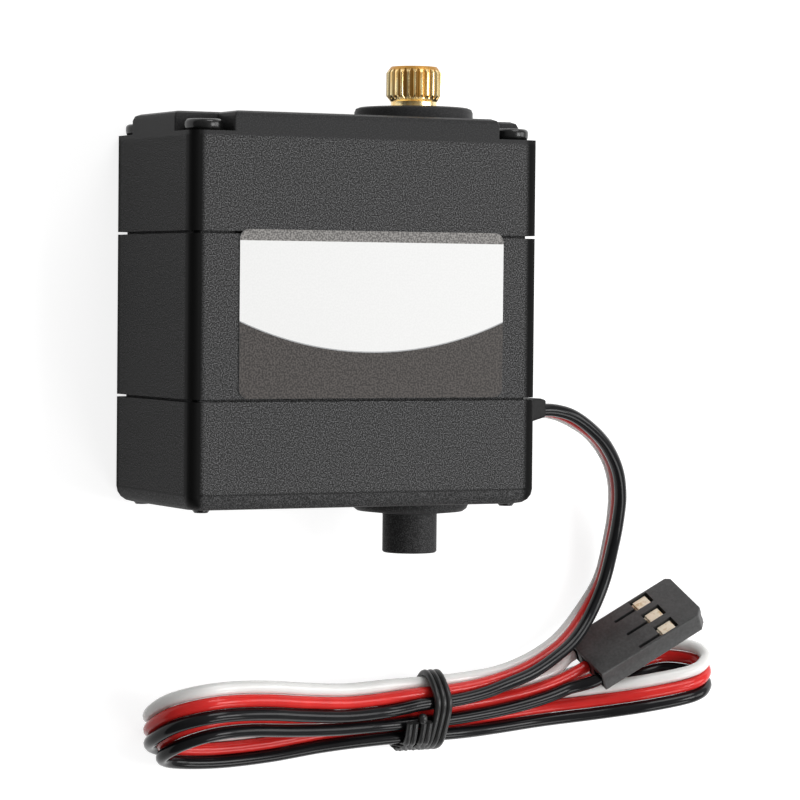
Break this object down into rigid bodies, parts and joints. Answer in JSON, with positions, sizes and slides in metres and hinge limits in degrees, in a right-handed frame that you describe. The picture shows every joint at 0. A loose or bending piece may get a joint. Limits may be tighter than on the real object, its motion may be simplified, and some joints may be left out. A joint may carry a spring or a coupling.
{
  "type": "servo motor",
  "caption": "Rotary servo in a boxy three-part black case, with a splined brass output shaft, a round rear boss and a folded three-wire lead tied in a loop with its plug.",
  "frame": {"origin": "on the surface that the servo lies on, below the centre of the servo's own box without its lead, tie and plug", "axes": "+Y along the output shaft towards the spline, +Z out of the label face, +X towards the wall that the lead leaves"},
  "size_m": [0.0716, 0.0752, 0.0201],
  "materials": {
    "case_plastic": "finely grained black moulded plastic",
    "screw_black": "glossy black",
    "label_print": "satin printed foil, two tone",
    "brass": "machined",
    "steel": "ground",
    "sintered_bronze": "oiled sintered bronze",
    "motor_steel": "zinc plated",
    "magnet": "ground ferrite",
    "end_cap_nylon": "natural nylon",
    "copper": "enamelled copper",
    "board_green": "solder mask",
    "chip_black": "moulded epoxy",
    "blue_plastic": "moulded",
    "wire_insulation": "flexible insulation",
    "black_rubber": "satin moulded",
    "lead_pvc": "white, red and black flexible insulation",
    "tie_plastic": "ribbed black plastic",
    "plug_plastic": "black moulded plastic",
    "gold": "gold plated"
  },
  "bodies": {
    "servo_body": {"top_case": "case_plastic", "middle_case": "case_plastic", "bottom_case": "case_plastic", "case_screws": "screw_black", "label": "label_print", "bearing_outer_ring": "steel", "bearing_balls": "steel", "shaft_bush": "sintered_bronze", "long_gear_pin": "steel", "short_gear_pin": "steel", "motor_can": "motor_steel", "motor_end_cap": "end_cap_nylon", "motor_magnets": "magnet", "motor_bushes": "sintered_bronze", "motor_brushes": "copper", "motor_terminals": "brass", "motor_screws": "steel", "feedback_body": "blue_plastic", "feedback_wires": "wire_insulation", "circuit_board": "board_green", "controller_chip": "chip_black", "driver_chips": "chip_black", "board_capacitor": "blue_plastic", "inner_leads": "wire_insulation", "wire_grommet": "black_rubber", "lead_from_case": "lead_pvc", "lead_hank_left": "lead_pvc", "lead_hank_right": "lead_pvc", "lead_to_plug": "lead_pvc", "twist_tie": "tie_plastic", "plug_housing": "plug_plastic", "plug_contacts": "gold"},
    "motor_rotor": {"motor_shaft": "steel", "motor_pinion": "brass", "motor_armature": "motor_steel", "motor_windings": "copper", "motor_commutator": "copper"},
    "idler_1": {"first_gear": "brass"},
    "idler_2": {"second_gear": "brass"},
    "idler_3": {"third_gear": "steel"},
    "output": {"output_gear": "brass", "bearing_inner_ring": "steel", "feedback_rotor": "steel"}
  },
  "joints": [
    {"name": "motor_spin", "type": "hinge", "parent": "servo_body", "child": "motor_rotor", "pos_m": [-0.00809, 0, 0.01], "axis": [0, 1, 0], "range_deg": [-12314.55, 12314.55]},
    {"name": "first_gear_spin", "type": "hinge", "parent": "servo_body", "child": "idler_1", "pos_m": [-0.0003, 0, 0.0097], "axis": [0, 1, 0], "range_deg": [-2932.04, 2932.04]},
    {"name": "second_gear_spin", "type": "hinge", "parent": "servo_body", "child": "idler_2", "pos_m": [-0.00785, 0, 0.0112], "axis": [0, 1, 0], "range_deg": [-862.37, 862.37]},
    {"name": "third_gear_spin", "type": "hinge", "parent": "servo_body", "child": "idler_3", "pos_m": [-0.0003, 0, 0.0097], "axis": [0, 1, 0], "range_deg": [-253.64, 253.64]},
    {"name": "output_turn", "type": "hinge", "parent": "servo_body", "child": "output", "pos_m": [0.0102, 0, 0.01], "axis": [0, 1, 0], "range_deg": [-90, 90]}
  ],
  "couplings": [
    {"joint": "first_gear_spin", "follows": "motor_spin", "ratio": -0.2381},
    {"joint": "second_gear_spin", "follows": "motor_spin", "ratio": 0.070028},
    {"joint": "third_gear_spin", "follows": "motor_spin", "ratio": -0.020596},
    {"joint": "output_turn", "follows": "motor_spin", "ratio": 0.0073084}
  ]
}
